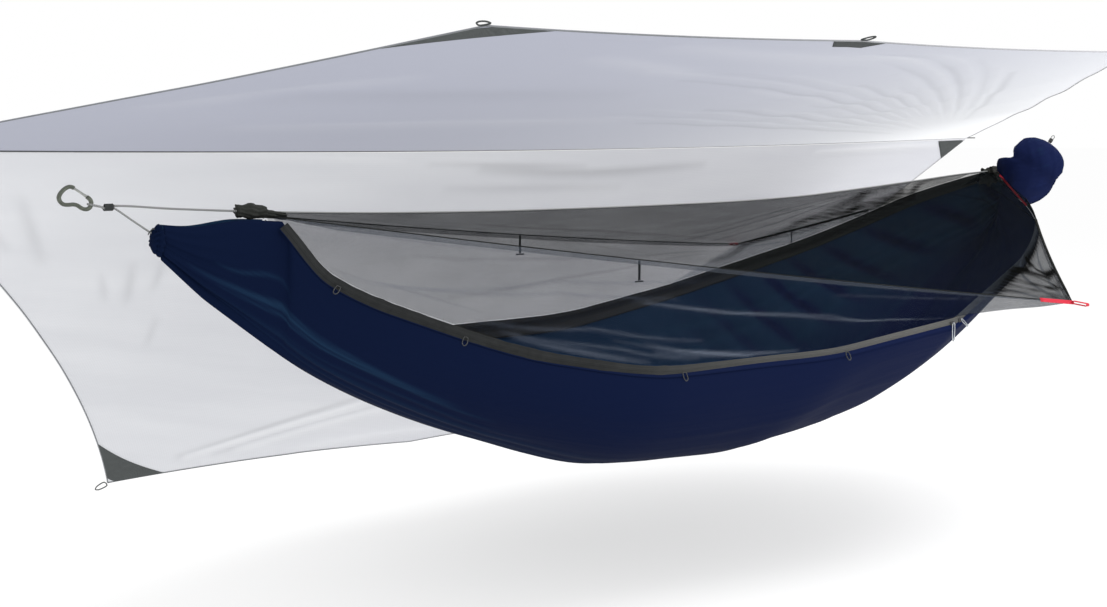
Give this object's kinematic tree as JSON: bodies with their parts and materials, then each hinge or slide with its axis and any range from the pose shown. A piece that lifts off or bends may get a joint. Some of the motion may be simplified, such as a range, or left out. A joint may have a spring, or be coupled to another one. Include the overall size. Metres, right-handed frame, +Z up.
{
  "type": "hammock tent",
  "caption": "Hammock tent: a gathered-end hammock with a zipped bug net on a ridgeline, slung between carabiners under a rain fly with one side raised as a porch.",
  "frame": {"origin": "on the inner wall of the left carabiner, where a tree strap bears", "axes": "+X along the hammock to the right end, +Y to the far side, away from the porch, +Z up"},
  "size_m": [3.3896, 1.8009, 1.1261],
  "materials": {
    "navy_nylon": "thin ripstop nylon, dull sheen",
    "netting": "fine see-through mosquito mesh",
    "zip_tape": "woven zip tape",
    "fly_cloth": "thin coated polyester, pale grey",
    "patch_cloth": "doubled reinforcement cloth and webbing, dark grey",
    "cord": "braided polyester cord",
    "metal": "grey anodised",
    "coral_webbing": "woven webbing, coral red",
    "black_plastic": "moulded nylon",
    "pull_cord": "thin elastic cord, pale grey"
  },
  "bodies": {
    "hammock": {"far_lower_net": "netting", "far_pullout": "coral_webbing", "far_rim_loop": "pull_cord", "far_upper_net": "netting", "far_zip_tape": "zip_tape", "fly_left_ridge_loop": "patch_cloth", "fly_ridge_seam": "patch_cloth", "fly_right_ridge_loop": "patch_cloth", "hammock_bed": "navy_nylon", "left_carabiner": "metal", "left_gather": "navy_nylon", "left_knot": "cord", "left_net_sleeve": "zip_tape", "left_suspension": "cord", "near_lower_net": "netting", "near_pullout": "coral_webbing", "near_rim_loop_1": "pull_cord", "near_rim_loop_2": "pull_cord", "near_rim_loop_3": "pull_cord", "near_rim_loop_4": "pull_cord", "near_upper_net": "netting", "near_zip_tape": "zip_tape", "ridgeline": "cord", "right_carabiner": "metal", "right_gather": "navy_nylon", "right_knot": "cord", "right_net_sleeve": "zip_tape", "right_suspension": "cord", "sack_drawcord": "cord", "sack_webbing": "coral_webbing", "stuff_sack": "navy_nylon"},
    "fly_near": {"fly_near_left_loop": "patch_cloth", "fly_near_left_patch": "patch_cloth", "fly_near_middle_loop": "patch_cloth", "fly_near_middle_patch": "patch_cloth", "fly_near_panel": "fly_cloth", "fly_near_right_loop": "patch_cloth", "fly_near_right_patch": "patch_cloth"},
    "fly_far": {"fly_far_left_loop": "patch_cloth", "fly_far_left_patch": "patch_cloth", "fly_far_panel": "fly_cloth", "fly_far_right_loop": "patch_cloth", "fly_far_right_patch": "patch_cloth", "fly_left_ridge_patch": "patch_cloth", "fly_right_ridge_patch": "patch_cloth"},
    "left_gate": {"left_gate": "metal"},
    "right_gate": {"right_gate": "metal"},
    "left_slider": {"left_slider": "black_plastic", "left_pull": "pull_cord"},
    "right_slider": {"right_slider": "black_plastic", "right_pull": "pull_cord"},
    "near_toggle": {"near_toggle_strap": "zip_tape", "near_toggle_bar": "black_plastic"},
    "far_left_toggle": {"far_left_toggle_strap": "zip_tape", "far_left_toggle_bar": "black_plastic"},
    "far_right_toggle": {"far_right_toggle_strap": "zip_tape", "far_right_toggle_bar": "black_plastic"},
    "cord_lock": {"cord_lock": "black_plastic"}
  },
  "joints": [
    {"name": "near_panel_swing", "type": "hinge", "parent": "hammock", "child": "fly_near", "pos_m": [1.38464, 0.3333, 0.0883], "axis": [1, 0, 0], "range_deg": [-12, 9]},
    {"name": "far_panel_swing", "type": "hinge", "parent": "hammock", "child": "fly_far", "pos_m": [1.38464, 0.3333, 0.0883], "axis": [1, 0, 0], "range_deg": [0, 60]},
    {"name": "left_gate_hinge", "type": "hinge", "parent": "hammock", "child": "left_gate", "pos_m": [0.04838, 0, 0.00125], "axis": [0, -1, 0], "range_deg": [0, 22], "stiffness_Nm_per_rad": 0.02, "springref_deg": -34.38},
    {"name": "right_gate_hinge", "type": "hinge", "parent": "hammock", "child": "right_gate", "pos_m": [2.9983, 0, 0.02425], "axis": [0, 1, 0], "range_deg": [0, 22], "stiffness_Nm_per_rad": 0.02, "springref_deg": -34.38},
    {"name": "left_slider_run", "type": "slide", "parent": "hammock", "child": "left_slider", "axis": [-0.9877, 0.0927, -0.1256], "range_m": [0, 0.296]},
    {"name": "right_slider_run", "type": "slide", "parent": "hammock", "child": "right_slider", "axis": [0.9255, 0.2732, 0.2623], "range_m": [0, 0.346]},
    {"name": "near_toggle_swing", "type": "hinge", "parent": "hammock", "child": "near_toggle", "pos_m": [1.21332, -0.25804, -0.16443], "axis": [0.9525, -0.3047, 0], "range_deg": [-25, 60]},
    {"name": "far_left_toggle_swing", "type": "hinge", "parent": "hammock", "child": "far_left_toggle", "pos_m": [1.24331, 0.23931, -0.13778], "axis": [-0.9618, -0.2739, 0], "range_deg": [-25, 60]},
    {"name": "far_right_toggle_swing", "type": "hinge", "parent": "hammock", "child": "far_right_toggle", "pos_m": [2.37078, 0.42734, -0.18352], "axis": [-0.8074, 0.59, 0], "range_deg": [-40, 5]},
    {"name": "cord_lock_slide", "type": "slide", "parent": "hammock", "child": "cord_lock", "axis": [0.598, -0.1495, 0.7874], "range_m": [0, 0.006]}
  ]
}
